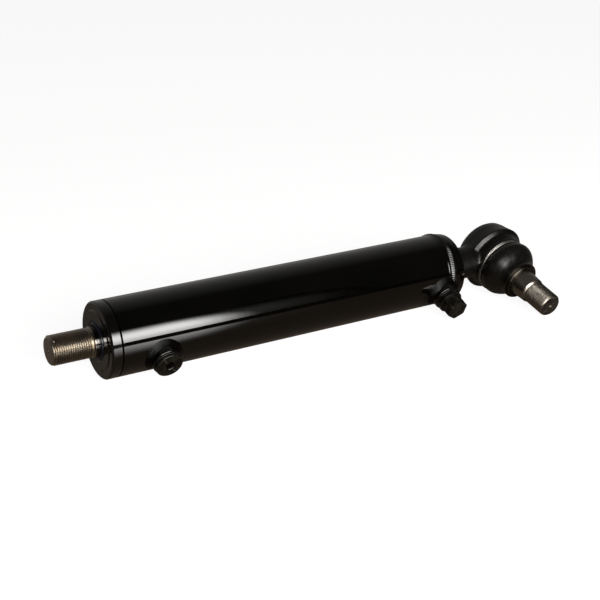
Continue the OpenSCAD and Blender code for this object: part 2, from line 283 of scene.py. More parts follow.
def build(name, shape, place, body, look, replaces=(), crease=32):
    """A piece from points and faces in millimetres: placed, shaded, named and riding."""
    points, faces = shape
    mesh = bpy.data.meshes.new(name)
    mesh.from_pydata((moved(np.asarray(points, float), place) * MM).tolist(), [],
                     [list(map(int, f)) for f in faces])
    bm = bmesh.new()
    bm.from_mesh(mesh)
    bmesh.ops.remove_doubles(bm, verts=bm.verts, dist=2e-6)
    bmesh.ops.dissolve_degenerate(bm, edges=bm.edges, dist=1e-6)
    bmesh.ops.recalc_face_normals(bm, faces=bm.faces)
    bm.to_mesh(mesh)
    bm.free()
    obj = bpy.data.objects.new(name, mesh)
    bpy.context.scene.collection.objects.link(obj)
    mesh.shade_smooth()
    mesh.set_sharp_from_angle(angle=math.radians(crease))
    normals = obj.modifiers.new("flat_faces", "WEIGHTED_NORMAL")
    normals.keep_sharp = True
    mesh.materials.append(look)
    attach(obj, body)
    if replaces:
        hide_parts(*replaces)
    return obj


def cut_away(obj, tool_shape, place):
    """Takes a solid in millimetres out of a piece, and leaves no modifier behind."""
    tool_mesh = bpy.data.meshes.new("tool")
    points, faces = tool_shape
    tool_mesh.from_pydata((moved(points, place) * MM).tolist(), [], faces)
    tool = bpy.data.objects.new("tool", tool_mesh)
    bpy.context.scene.collection.objects.link(tool)
    bm = bmesh.new()
    bm.from_mesh(tool_mesh)
    bmesh.ops.recalc_face_normals(bm, faces=bm.faces)
    bm.to_mesh(tool_mesh)
    bm.free()
    cut = obj.modifiers.new("cut", "BOOLEAN")
    cut.operation = "DIFFERENCE"
    cut.solver = "EXACT"
    cut.object = tool
    others = [m for m in obj.modifiers if m != cut]
    for modifier in others:
        modifier.show_viewport = False
    graph = bpy.context.evaluated_depsgraph_get()
    result = bpy.data.meshes.new_from_object(obj.evaluated_get(graph))
    obj.modifiers.remove(cut)
    for modifier in others:
        modifier.show_viewport = True
    result.name = obj.name
    obj.data = result
    result.shade_smooth()
    result.set_sharp_from_angle(angle=math.radians(32))
    bpy.data.objects.remove(tool)


# ------------------------------------------------------------------ materials


class Look:
    """One procedural material. Plain values go on the shader's own sockets."""

    def __init__(self, name, **values):
        self.material = bpy.data.materials.new(name)
        self.material.use_nodes = True
        self.tree = self.material.node_tree
        self.shader = self.tree.nodes["Principled BSDF"]
        for socket, value in values.items():
            self.shader.inputs[socket.replace("_", " ")].default_value = value
        self.place = self.node("ShaderNodeTexCoord").outputs["Object"]
        self.height = None

    def node(self, kind, inputs=None, **settings):
        made = self.tree.nodes.new(kind)
        for key, value in settings.items():
            setattr(made, key, value)
        for socket, value in (inputs or {}).items():
            self.give(made.inputs[socket], value)
        return made

    def give(self, socket, value):
        if isinstance(value, bpy.types.NodeSocket):
            self.tree.links.new(value, socket)
        else:
            socket.default_value = value

    def stretched(self, scale):
        """The object's coordinates, scaled apart along each axis."""
        return self.node("ShaderNodeMapping", {"Vector": self.place, "Scale": scale}).outputs[0]

    def noise(self, scale, detail=3.0, roughness=0.55, vector=None, distortion=0.0):
        made = self.node("ShaderNodeTexNoise", {
            "Vector": vector or self.place, "Scale": scale, "Detail": detail,
            "Roughness": roughness, "Distortion": distortion})
        return made.outputs[0]

    def cells(self, scale, vector=None):
        made = self.node("ShaderNodeTexVoronoi", {"Vector": vector or self.place, "Scale": scale})
        return made.outputs["Distance"]

    def span(self, value, low_in, high_in, low_out=0.0, high_out=1.0):
        made = self.node("ShaderNodeMapRange", {
            "Value": value, "From Min": low_in, "From Max": high_in,
            "To Min": low_out, "To Max": high_out}, interpolation_type="SMOOTHSTEP")
        return made.outputs[0]

    def along(self, axis):
        """How far a point lies along an axis from the origin, in metres."""
        made = self.node("ShaderNodeVectorMath", {0: self.place, 1: tuple(axis)}, operation="DOT_PRODUCT")
        return made.outputs["Value"]

    def maths(self, operation, a, b):
        return self.node("ShaderNodeMath", {0: a, 1: b}, operation=operation).outputs[0]

    def mix(self, factor, a, b):
        made = self.node("ShaderNodeMix", data_type="RGBA")
        for socket, value in ((0, factor), (6, a), (7, b)):
            if not isinstance(value, bpy.types.NodeSocket) and socket:
                value = (*value, 1.0)
            self.give(made.inputs[socket], value)
        return made.outputs[2]

    def edges(self, start=0.52, end=0.58):
        """1 on outer edges, where paint and finish wear first."""
        point = self.node("ShaderNodeNewGeometry").outputs["Pointiness"]
        return self.span(point, start, end)

    def color(self, value):
        self.give(self.shader.inputs["Base Color"], value)

    def rough(self, value):
        self.give(self.shader.inputs["Roughness"], value)

    def bump(self, height, distance, strength=1.0):
        """Adds one layer of relief; distance is in metres."""
        inputs = {"Height": height, "Distance": distance, "Strength": strength}
        if self.height:
            inputs["Normal"] = self.height
        self.height = self.node("ShaderNodeBump", inputs).outputs[0]
        self.give(self.shader.inputs["Normal"], self.height)


def gloss_paint(name, relief=0.000008, roughness=(0.02, 0.055), grain=0.0, rough_from=None, tone=1.0,
                shine=0.5):
    """Black gloss paint: orange peel, specks of dust, and thin worn edges.

    Cast grain can start at a height along the stud, rough_from, in metres.
    """
    look = Look(name, Metallic=0.0, IOR=1.5, Coat_Weight=0.0, Specular_IOR_Level=shine)
    patches = look.noise(14.0, 4.0)
    specks = look.span(look.noise(2600.0, 2.0), 0.66, 0.72)
    worn = look.maths("MULTIPLY", look.edges(0.54, 0.62), look.span(look.noise(220.0), 0.4, 0.7))
    dark, pale = (0.0003, 0.00026, 0.0002), (0.0007, 0.0006, 0.00045)
    dark, pale = (tuple(c * tone for c in shade) for shade in (dark, pale))
    black = look.mix(look.span(patches, 0.35, 0.65), dark, pale)
    dusty = look.mix(look.maths("MULTIPLY", specks, 0.12), black, (0.03, 0.027, 0.023))
    look.color(look.mix(look.maths("MULTIPLY", worn, 0.3), dusty, (0.02, 0.018, 0.015)))
    cloudy = look.span(look.noise(48.0, 5.0), 0.35, 0.7, *roughness)
    look.rough(look.maths("ADD", cloudy, look.maths("MULTIPLY", specks, 0.15)))
    look.bump(look.noise(210.0, 2.0), relief)
    if grain:
        height = look.noise(900.0, 5.0, 0.6)
        if rough_from is not None:
            mask = look.span(look.along(STUD_DIR), rough_from - 0.001, rough_from + 0.001, 0.12, 1.0)
            height = look.maths("MULTIPLY", height, mask)
        look.bump(height, grain)
    return look.material


def turned_steel(name, base, dark, roughness, axis, tint=(0.30, 0.24, 0.17), recess_oil_and_shade=0.75, chrome_to=None,
                 darkened_from=None, punch_shade_centre=None):
    """Bare machined steel with fine turning marks round an axis, and dull oil with painted shade in its
    recesses.

    It is polished chrome up to chrome_to along the axis, and darker and rougher in blotches past a second
    point along it.
    The last argument is the centre of the punch mark, whose inside is painted dark as shade. All three are
    in metres.
    """
    look = Look(name, Metallic=1.0)
    along = look.along(axis)
    marks = look.node("ShaderNodeTexNoise", {"W": along, "Scale": 5200.0, "Detail": 2.0},
                      noise_dimensions="1D").outputs[0]
    stain = look.span(look.noise(60.0, 5.0, 0.65), 0.4, 0.7)
    fine = look.span(look.noise(1500.0, 3.0), 0.35, 0.75)
    metal = look.mix(stain, base, tint)
    metal = look.mix(look.maths("MULTIPLY", fine, 0.3), metal, dark)
    # Darker in recesses such as thread roots: partly dull oil, partly painted shade.
    hollow = look.edges(0.5, 0.44)
    metal = look.mix(look.maths("MULTIPLY", hollow, recess_oil_and_shade), metal, dark)
    rough = look.maths("ADD", look.span(marks, 0.3, 0.7, *roughness), look.maths("MULTIPLY", stain, 0.08))
    relief = marks
    if chrome_to is not None:
        machined = look.span(along, chrome_to - 0.0003, chrome_to + 0.0003)
        metal = look.mix(machined, CHROME, metal)
        rough = look.span(machined, 0.0, 1.0, look.span(stain, 0.0, 1.0, 0.06, 0.12), rough)
        relief = look.maths("MULTIPLY", marks, machined)
    if darkened_from is not None:
        # The thread's end face is darker and rougher in blotches.
        end_darkening = look.maths("MULTIPLY", look.span(along, darkened_from, darkened_from + 0.0004),
                           look.span(look.noise(170.0, 5.0, 0.6), 0.25, 0.6, 0.55, 1.0))
        metal = look.mix(end_darkening, metal, dark)
        rough = look.span(end_darkening, 0.0, 1.0, rough, 0.6)
    if punch_shade_centre is not None:
        # Painted shade: the inside of the punch mark is coloured dark and made rough.
        reach = look.node("ShaderNodeVectorMath", {0: look.place, 1: tuple(punch_shade_centre)}, operation="DISTANCE")
        dent_shade = look.span(reach.outputs["Value"], 0.0017, 0.0013)
        metal = look.mix(dent_shade, metal, SHADE)
        rough = look.span(dent_shade, 0.0, 1.0, rough, 0.7)
    look.color(metal)
    look.rough(rough)
    look.bump(relief, 0.000006)
    look.bump(look.noise(2200.0, 3.0), 0.000002)
    return look.material


def rubber(name, base, bloom, roughness=(0.36, 0.52), relief=0.00002, shine=0.5):
    """Moulded rubber or seal material: fine matt grain with a faint bloom."""
    look = Look(name, Metallic=0.0, IOR=1.5, Specular_IOR_Level=shine)
    cloud = look.span(look.noise(35.0, 5.0, 0.6), 0.42, 0.72)
    grain = look.noise(1900.0, 4.0, 0.6)
    rubbed = look.maths("MULTIPLY", look.edges(), 0.3)
    look.color(look.mix(rubbed, look.mix(look.maths("MULTIPLY", cloud, 0.6), base, bloom), bloom))
    look.rough(look.span(look.noise(160.0, 4.0), 0.3, 0.7, *roughness))
    look.bump(grain, relief)
    look.bump(look.noise(120.0, 2.0), relief * 2)
    return look.material


def plated(name, base, dark, roughness=(0.25, 0.42)):
    """Plated or drawn steel with fine scratches and soft stains."""
    look = Look(name, Metallic=1.0)
    scratches = look.noise(420.0, 4.0, 0.7, look.stretched((1.0, 6.0, 0.4)))
    stain = look.span(look.noise(75.0, 4.0), 0.45, 0.75)
    look.color(look.mix(look.maths("MULTIPLY", stain, 0.6), base, dark))
    look.rough(look.span(scratches, 0.3, 0.7, *roughness))
    look.bump(scratches, 0.000008)
    return look.material


def phosphated(name, base=(0.0015, 0.0014, 0.0012)):
    """Black phosphated steel plugs: satin, a little olive where the oil has dried."""
    look = Look(name, Metallic=0.25, IOR=1.5, Specular_IOR_Level=0.34)
    oil = look.span(look.noise(150.0, 5.0, 0.65), 0.42, 0.7)
    color = look.mix(oil, base, (0.012, 0.0105, 0.007))
    look.color(look.mix(look.maths("MULTIPLY", look.edges(), 0.45), color, (0.05, 0.045, 0.036)))
    look.rough(look.span(look.noise(700.0, 4.0), 0.3, 0.7, 0.12, 0.26))
    look.bump(look.noise(1500.0, 4.0), 0.00001)
    return look.material


def resin(name, base, dark):
    """Woven or moulded resin for guide rings and ball seats."""
    look = Look(name, Metallic=0.0, IOR=1.45)
    weave = look.cells(900.0)
    shade = look.span(look.noise(90.0, 4.0), 0.35, 0.7)
    look.color(look.mix(look.maths("MULTIPLY", shade, 0.7), base, dark))
    look.rough(look.span(weave, 0.0, 0.6, 0.5, 0.7))
    look.bump(weave, 0.00002)
    return look.material


CHROME = (0.2, 0.19, 0.175)
SHADE = (0.006, 0.005, 0.004)

PAINT = gloss_paint("gloss_black_paint")
GLAND_PAINT = gloss_paint("painted_gland", roughness=(0.06, 0.13), tone=3.4)
WELD_PAINT = gloss_paint("painted_weld", relief=0.00002, roughness=(0.06, 0.12), grain=0.00001)
PORT_WELD_PAINT = gloss_paint("painted_port_weld", relief=0.00002, roughness=(0.22, 0.38), grain=0.00001,
                              shine=0.06)
CAST_PAINT = gloss_paint("painted_forging", relief=0.00003, roughness=(0.26, 0.42), grain=0.0003,
                         rough_from=0.003, tone=3.0, shine=0.3)
PLUG_BLACK = phosphated("black_plug")
WASHER = plated("washer_steel", (0.05, 0.047, 0.042), (0.02, 0.018, 0.015))
ROD_STEEL = turned_steel("rod_steel", (0.26, 0.226, 0.185), (0.07, 0.06, 0.047), (0.24, 0.36),
                         (1.0, 0.0, 0.0), recess_oil_and_shade=0.5, chrome_to=(ROD_THREAD_X - 0.3) * MM,
                         punch_shade_centre=PUNCH_AT * MM)
STUD_STEEL = turned_steel("stud_steel", (0.26, 0.238, 0.2), (0.03, 0.026, 0.021), (0.2, 0.32),
                          tuple(STUD_DIR), tint=(0.2, 0.165, 0.125), recess_oil_and_shade=0.9,
                          darkened_from=(STUD_END - 0.5) * MM)
COLLAR_BLACK = plated("blackened_collar", (0.075, 0.07, 0.06), (0.02, 0.018, 0.015), (0.16, 0.3))
SPRING = plated("spring_steel", (0.32, 0.31, 0.29), (0.14, 0.13, 0.12))
ZINC = plated("zinc_nut", (0.62, 0.61, 0.58), (0.42, 0.41, 0.36), (0.22, 0.38))
CAST_IRON = turned_steel("cast_piston", (0.2, 0.195, 0.19), (0.04, 0.04, 0.04), (0.3, 0.45), (1.0, 0.0, 0.0),
                         tint=(0.16, 0.15, 0.14))
SEAL_BLACK = rubber("black_rubber", (0.0035, 0.004, 0.0075), (0.008, 0.009, 0.017), (0.16, 0.28),
                    0.00001, 0.22)
BOOT_RUBBER = rubber("boot_rubber", (0.0022, 0.0019, 0.0015), (0.005, 0.0042, 0.0034), (0.2, 0.32),
                     0.000014, 0.34)
RED_SEAL = rubber("red_polyurethane", (0.42, 0.05, 0.035), (0.3, 0.035, 0.03), (0.3, 0.4), 0.00001)
GREEN_SEAL = rubber("green_polyurethane", (0.04, 0.17, 0.12), (0.03, 0.11, 0.08), (0.3, 0.4), 0.00001)
GUIDE = resin("guide_resin", (0.42, 0.3, 0.17), (0.28, 0.19, 0.1))
WHITE_RESIN = resin("white_resin", (0.8, 0.78, 0.72), (0.62, 0.58, 0.48))

# ---------------------------------------------------------------- the barrel


def make_tube():
    """The honed tube, with its ends broken and the bore left open."""
    profile = ring_profile([
        (BORE_R, WELD_X0 + 6.5), (TUBE_R, WELD_X0 + 6.5), (TUBE_R, TUBE_END_X, 0.5),
        (BORE_R, TUBE_END_X, 0.2),
    ])
    return build("tube", turned(profile, 256), ON_AXIS, "barrel", PAINT,
                 ["barrel_tube"])


def make_end_cap():
    """The end cap: its face, shallow taper and nose inside the bore."""
    taper_end = CAP_FACE_X + CAP_TAPER_W
    profile = rounded([
        (0, CAP_FACE_X), (TUBE_R - 2.4, CAP_FACE_X, 0.6), (TUBE_R - 1.2, CAP_FACE_X + 1.1, 0.6),
        (TUBE_R, taper_end, 0.4), (TUBE_R, WELD_X0 + 5.5, 0), (BORE_R - 3.5, WELD_X0 + 7.5, 0),
        (BORE_R - 3.5, CAP_NOSE_X, 0.5), (21, CAP_NOSE_X, 0.5), (21, WELD_X0 + 6.5, 1), (0, WELD_X0 + 6.5),
    ])
    return build("end_cap_forging", turned(profile, 256), ON_AXIS, "barrel", PAINT,
                 ["end_cap"])


def ripple(phase):
    """The rounded steps that a weld pool leaves: 1 on a crest, 0 in a valley."""
    part = phase - np.floor(phase)
    return np.sin(np.pi * part ** 0.7) ** 0.8


def make_girth_weld():
    """The weld bead round the cap, with its ripples and slightly uneven edges."""
    steps, rows = 1440, 33
    rng = np.random.default_rng(11)
    angle = np.linspace(0, 2 * np.pi, steps + 1)
    across = np.linspace(-1, 1, rows)
    wander = sum(a * np.sin(k * angle + p) for k, a, p in zip((3, 7, 13, 29), (0.25, 0.2, 0.12, 0.06),
                                                              rng.uniform(0, 6, 4)))
    pitch = 1.9
    turns = round(2 * np.pi * TUBE_R / pitch)
    middle, half = (WELD_X0 + WELD_X1) / 2, (WELD_X1 - WELD_X0) / 2
    phase = turns * angle / (2 * np.pi) + 0.12 * np.sin(9 * angle + 1)
    # The bead rises slowly from the tube and drops steeply to the cap
    crown = np.interp(across, [-1, -0.86, -0.7, -0.45, 0.1, 0.5, 0.66, 0.8, 1],
                      [-0.4, 0.55, 1.15, 1.1, 0.3, 0.1, -0.22, 0.02, -0.1])
    crown = np.convolve(np.pad(crown, 1, mode="edge"), [0.25, 0.5, 0.25], "valid")[:, None]
    lift = np.clip(crown / 1.2, 0, 1)
    bow = 1.3 * (across ** 2)[:, None]
    steps_up = ripple(phase[None, :] + bow)
    radius = TUBE_R + crown + (0.42 * steps_up - 0.25 + 0.06 * wander) * lift
    x = middle + across[:, None] * (half + 0.5 * wander[None, :] * (np.abs(across)[:, None] > 0.7))
    points = np.stack([radius * np.cos(angle), radius * np.sin(angle), x + 0 * radius], -1)
    return build("girth_weld_bead", (points.reshape(-1, 3), grid_quads(rows, steps + 1)), ON_AXIS, "barrel",
                 WELD_PAINT, ["girth_weld"], crease=60)


def make_shank_weld():
    """The fillet weld that holds the ball joint's shank on the cap."""
    steps, rows = 720, 15
    angle = np.linspace(0, 2 * np.pi, steps + 1)
    across = np.linspace(0, 1, rows)[:, None]
    turns = 54
    steps_up = ripple(turns * angle / (2 * np.pi) + 0.8 * (2 * across - 1) ** 2)
    bulge = 0.5 * np.sin(np.pi * across) + 0.25 * steps_up * np.sin(np.pi * across)
    radius = SHANK_R - 0.3 + 3.7 * across + bulge * 0.7
    x = CAP_FACE_X - 3.4 * (1 - across) - bulge * 0.7 + 0.2 * across
    points = np.stack([radius * np.cos(angle), radius * np.sin(angle), x + 0 * radius], -1)
    return build("shank_weld_bead", (points.reshape(-1, 3), grid_quads(rows, steps + 1)), ON_AXIS, "barrel",
                 WELD_PAINT, ["shank_weld"], crease=60)


def make_boss(name, node, place):
    """A port boss: turned outside, faced top, threaded mouth and drilling."""
    profile = rounded([
        (PORT_DRILL_R, 29.2), (BOSS_R, 29.2, 0), (BOSS_R, BOSS_TOP, 0.9), (PORT_THREAD_R + 1, BOSS_TOP, 0.2),
        (PORT_THREAD_R, BOSS_TOP - 1, 0), (PORT_THREAD_R, PORT_THREAD_END, 0.2),
        (PORT_DRILL_R, PORT_THREAD_END - 1, 0), (PORT_DRILL_R, 29.2),
    ])
    return build(name, turned(profile, 160), place, "barrel", PAINT, [node])


def make_port_weld(name, node, place, seed):
    """A fillet weld between the boss and the tube, which follows the saddle between them."""
    steps, rows = 720, 17
    rng = np.random.default_rng(seed)
    angle = np.linspace(0, 2 * np.pi, steps + 1)
    across = np.linspace(0, 1, rows)[:, None]
    wander = sum(a * np.sin(k * angle + p) for k, a, p in zip((2, 5, 9), (0.35, 0.25, 0.15),
                                                              rng.uniform(0, 6, 3)))
    steps_up = ripple(44 * angle / (2 * np.pi) + 0.9 * (2 * across - 1) ** 2)
    # The bead is widest towards the rod's end
    spread = PORT_WELD_W + 1.2 * (0.5 + 0.5 * np.cos(angle)) ** 1.5 + 0.4 * wander
    reach = BOSS_R - 0.2 + across * spread
    on_tube = np.sqrt(TUBE_R ** 2 - (reach * np.sin(angle)) ** 2)
    climb = (PORT_WELD_H + 0.3 * wander) * (1 - across) ** 2.0
    bulge = np.sin(np.pi * across) * (0.1 + 0.25 * steps_up)
    height = on_tube + climb + bulge - 0.35 * across ** 4
    points = np.stack([reach * np.cos(angle), reach * np.sin(angle), height], -1)
    return build(name, (points.reshape(-1, 3), grid_quads(rows, steps + 1)), place, "barrel",
                 PORT_WELD_PAINT, [node], crease=60)


def make_washer(name, node, place):
    """The sealing washer under a plug's collar."""
    profile = ring_profile([
        (PORT_THREAD_R, BOSS_TOP), (COLLAR_R + 0.4, BOSS_TOP, 0.3), (COLLAR_R + 0.4, WASHER_TOP, 0.3),
        (PORT_THREAD_R, WASHER_TOP, 0.1),
    ])
    return build(name, turned(profile), place, "barrel", WASHER, [node])


def plug_shaft(collar_t, top):
    """The profile of a plug below its head: the threaded shaft's envelope and the collar."""
    return [
        (0, PORT_THREAD_END + 0.5), (PORT_THREAD_R - 1, PORT_THREAD_END + 0.5, 0.2),
        (PORT_THREAD_R, PORT_THREAD_END + 1.5, 0.2), (PORT_THREAD_R, WASHER_TOP, 0),
        (COLLAR_R, WASHER_TOP, 0.2), (COLLAR_R, WASHER_TOP + collar_t, 0.8), *top,
    ]


def hexagon(flats, turn=0.0):
    """The corners of a hexagon by its width across flats."""
    r = flats / 2 / math.cos(math.pi / 6)
    return [(r * math.cos(turn + math.pi / 3 * i), r * math.sin(turn + math.pi / 3 * i)) for i in range(6)]


def make_socket_plug():
    """The rod-end port's plug: a round collar with a hexagon socket."""
    top = WASHER_TOP + ROD_COLLAR_T
    rim = SOCKET_HEX / 2 / math.cos(math.pi / 6)
    shape = turned(rounded(plug_shaft(ROD_COLLAR_T, [
        (rim + 0.5, top, 0.2), (rim - 0.1, top - 0.55, 0.1), (0, top - 0.55)])), 160)
    plug = build("socket_plug", shape, ON_ROD_PORT, "barrel", PLUG_BLACK, ["rod_port_plug"])
    floor = top - SOCKET_DEPTH
    cut_away(plug, prism(hexagon(SOCKET_HEX, PLUG_TURN - math.pi / 2), floor, top + 1), ON_ROD_PORT)
    return plug


def make_hex_plug():
    """The cap-end port's plug: a collar under a chamfered hexagon head."""
    neck = WASHER_TOP + CAP_COLLAR_T
    collar = turned(rounded(plug_shaft(CAP_COLLAR_T, [(0, neck)])), 160)
    flat_r = PLUG_HEX / 2
    end_r = flat_r + 1.05
    levels = [neck - 0.5, PLUG_END - 1.0, *np.linspace(PLUG_END - 0.6, PLUG_END, 7)]
    steps = 96
    angle = PLUG_TURN + np.linspace(0, 2 * np.pi, steps + 1)
    to_flat = flat_r / np.cos((angle - PLUG_TURN) % (np.pi / 3) - np.pi / 6)
    rows = []
    for z in levels:
        rows.append(np.minimum(to_flat, end_r + (PLUG_END - z) / math.tan(math.radians(30))))
    rows.append(rows[-1] - 0.25)
    rows.append(rows[-1] * 0.5)
    rows.append(np.zeros(steps + 1))
    z = [*levels, PLUG_END + 0.08, PLUG_END + 0.08, PLUG_END + 0.08]
    r = np.array(rows)
    points = np.stack([r * np.cos(angle), r * np.sin(angle), np.outer(z, np.ones(steps + 1))], -1)
    head = points.reshape(-1, 3), grid_quads(len(z), steps + 1)
    return build("hex_plug", joined(collar, head), ON_CAP_PORT, "barrel", PLUG_BLACK,
                 ["cap_port_plug"], crease=28)


# ----------------------------------------------------------------- the gland


def make_gland():
    """The gland: flange, raised disc, step into the bore and its seal grooves."""
    face = GLAND_FACE_X
    tube_gap = 0.5
    seal_x, guide_x, o_ring_x = face - 19, face - 46, TUBE_END_X - 24.4
    profile = rounded([
        (14.4, low("gland").x), (24, low("gland").x, 0.6), (24, TUBE_END_X - 30, 0.5),
        (BORE_R, TUBE_END_X - 29, 0.5), (BORE_R, o_ring_x, 0.2), (BORE_R - 3, o_ring_x, 0.2),
        (BORE_R - 3, o_ring_x + 6.1, 0.2), (BORE_R, o_ring_x + 6.1, 0.2), (BORE_R, TUBE_END_X + tube_gap, 0),
        (TUBE_R - 1.1, TUBE_END_X + tube_gap, 0), (TUBE_R, TUBE_END_X + tube_gap + 0.7, 0.5),
        (TUBE_R, face - 1.5, 0.6), (TUBE_R - 1.6, face, 0.6), (RAISED_R + 0.35, face, 0.15),
        (RAISED_R, face + RAISED_H, 0.35), (18.4, face + RAISED_H, 0.25), (18, face + RAISED_H - 0.5, 0.1),
        (18, face - WIPER_SEAT, 0.2), (14.4, face - WIPER_SEAT, 0.2), (14.4, seal_x + 6.5, 0.1),
        (19, seal_x + 6.5, 0.2),
        (19, seal_x, 0.2), (14.4, seal_x, 0.1), (14.4, guide_x + 20, 0.1), (16, guide_x + 20, 0.1),
        (16, guide_x, 0.1), (14.4, guide_x, 0.1), (14.4, low("gland").x),
    ])
    gland = build("gland_body", turned(profile, 256), ON_AXIS, "barrel", GLAND_PAINT,
                  ["gland"])
    for turn in (-0.45, 0.45):
        cut_away(gland, punch_mark(turn), STAKE)
    return gland


def punch_mark(turn):
    """One stroke of the V stamped in the gland's face: a narrow wedge."""
    length, width, depth = 3.2, 0.6, 0.5
    c, s = math.cos(turn), math.sin(turn)
    corners = [(-width / 2, 0), (width / 2, 0), (width / 2, length), (-width / 2, length)]
    spun = [(x * c - y * s, x * s + y * c) for x, y in corners]
    return prism(spun, -depth, 1.0)


def make_wiper():
    """The wiper's rubber lip, which stands proud of the gland."""
    face = GLAND_FACE_X
    rod_gap = ROD_R + 0.05
    profile = ring_profile([
        (rod_gap + 0.8, face - WIPER_SEAT), (17.95, face - WIPER_SEAT), (17.95, face + RAISED_H - 0.6, 0.2),
        (LIP_R + 0.2, face + RAISED_H - 0.3, 0.3), (LIP_R, face + LIP_H - 0.5, 0.4),
        (LIP_R - 0.6, face + LIP_H, 0.4), (rod_gap + 0.5, face + LIP_H, 0.3),
        (rod_gap, face + LIP_H - 0.8, 0.2), (rod_gap + 0.8, face - 1, 0.3),
    ])
    return build("wiper_lip", turned(profile, 192), ON_AXIS, "barrel", SEAL_BLACK,
                 ["wiper_seal"])


# ------------------------------------------------------------------- the rod


def make_rod():
    """The piston rod: spigot, ground shaft, smooth neck and M27 x 2 thread."""
    root = ROD_THREAD_R - THREAD_DEPTH * ROD_PITCH
    before = rounded([
        (0, ROD_TAIL_X), (9, ROD_TAIL_X, 0.2), (10, ROD_TAIL_X + 1, 0.2), (10, PISTON_X0, 0.2),
        (11, PISTON_X0, 0.1), (11, PISTON_X1, 0.1), (ROD_R - 0.5, PISTON_X1, 0.1),
        (ROD_R, PISTON_X1 + 0.5, 0.2), (ROD_R, ROD_THREAD_X - 0.9, 0.3), (root, ROD_THREAD_X + 0.2, 0.3),
        (root, ROD_THREAD_X + 0.4),
    ])
    chamfer = 1.7
    rim = ROD_THREAD_R - chamfer
    after = rounded([
        (rim, ROD_END_X), (rim - 0.4, ROD_END_X, 0.1), (2.6, ROD_END_X, 0.1),
        (1.2, ROD_END_X - 2.2, 0.2), (1.2, ROD_END_X - 4, 0.2), (0, ROD_END_X - 4.4),
    ])
    shape = threaded(before, after, ROD_THREAD_R, ROD_PITCH, ROD_THREAD_X + 0.4, ROD_END_X, chamfer, 192)
    rod = build("threaded_rod", shape, ON_AXIS, "rod", ROD_STEEL, ["piston_rod"], crease=40)
    cut_away(rod, turned(rounded([(0, -2.4), (1.0, -1.0, 0.2), (1.5, 1.2, 0.1), (0, 1.2)]), 24), PUNCH)
    return rod


# ------------------------------------------------------------ the ball joint


def polygon_distance(r, z, corners):
    """Signed distance from points to a closed polygon, negative inside."""
    best = np.full(r.shape, 1e9)
    inside = np.zeros(r.shape, bool)
    for (ax, ay), (bx, by) in zip(corners, corners[1:] + corners[:1]):
        ex, ey = bx - ax, by - ay
        px, py = r - ax, z - ay
        t = np.clip((px * ex + py * ey) / (ex * ex + ey * ey), 0, 1)
        best = np.minimum(best, (px - ex * t) ** 2 + (py - ey * t) ** 2)
        if ay != by:
            crosses = (ay > z) != (by > z)
            inside ^= crosses & (r < ex * (z - ay) / ey + ax)
    return np.where(inside, -1, 1) * np.sqrt(best)


def soft_union(a, b, size):
    """Union of two distances with a fillet of about that size."""
    h = np.clip(0.5 + 0.5 * (b - a) / size, 0, 1)
    return b + (a - b) * h - size * h * (1 - h)


def housing_distance(p):
    """Signed distance to the ball joint's forging, in the stud's frame."""
    x, y, z = p[..., 0], p[..., 1], p[..., 2]
    r = np.hypot(x, y)
    shell = polygon_distance(r, z, [
        (-1, HOUSING_BOTTOM + 0.2), (HOUSING_R - 9.0, HOUSING_BOTTOM + 0.2),
        (HOUSING_R - 6.4, HOUSING_BOTTOM + 2.3), (HOUSING_R - 4.1, HOUSING_BOTTOM + 5.2),
        (HOUSING_R - 2.8, -12.0), (HOUSING_R - 1.9, -6.0),
        (HOUSING_R - 0.2, 2.8), (BAND_R + 0.4, 5.9), (BAND_R - 0.2, 6.9), (BAND_R - 1.6, HOUSING_TOP - 2.8),
        (BAND_R - 1.6, HOUSING_TOP - 0.2), (-1, HOUSING_TOP - 0.2)]) - 0.2
    shank = np.maximum(np.hypot(y, z) - SHANK_R, np.maximum(x - (CAP_FACE_X + 4), 8 - x))
    solid = soft_union(shell, shank, 2.6)
    above = np.maximum(r - BAND_R, HOUSING_TOP - z)
    solid = np.maximum(solid, -above)
    hollow = polygon_distance(r, z, [
        (-1, HOUSING_BOTTOM - 5), (COVER_R, HOUSING_BOTTOM - 5), (COVER_R, -19.2), (24.6, -19.2),
        (24.6, 8.6), (17.6, 8.6), (21.4, HOUSING_TOP + 1), (21.4, HOUSING_TOP + 9), (-1, HOUSING_TOP + 9)])
    return np.maximum(solid, -hollow)


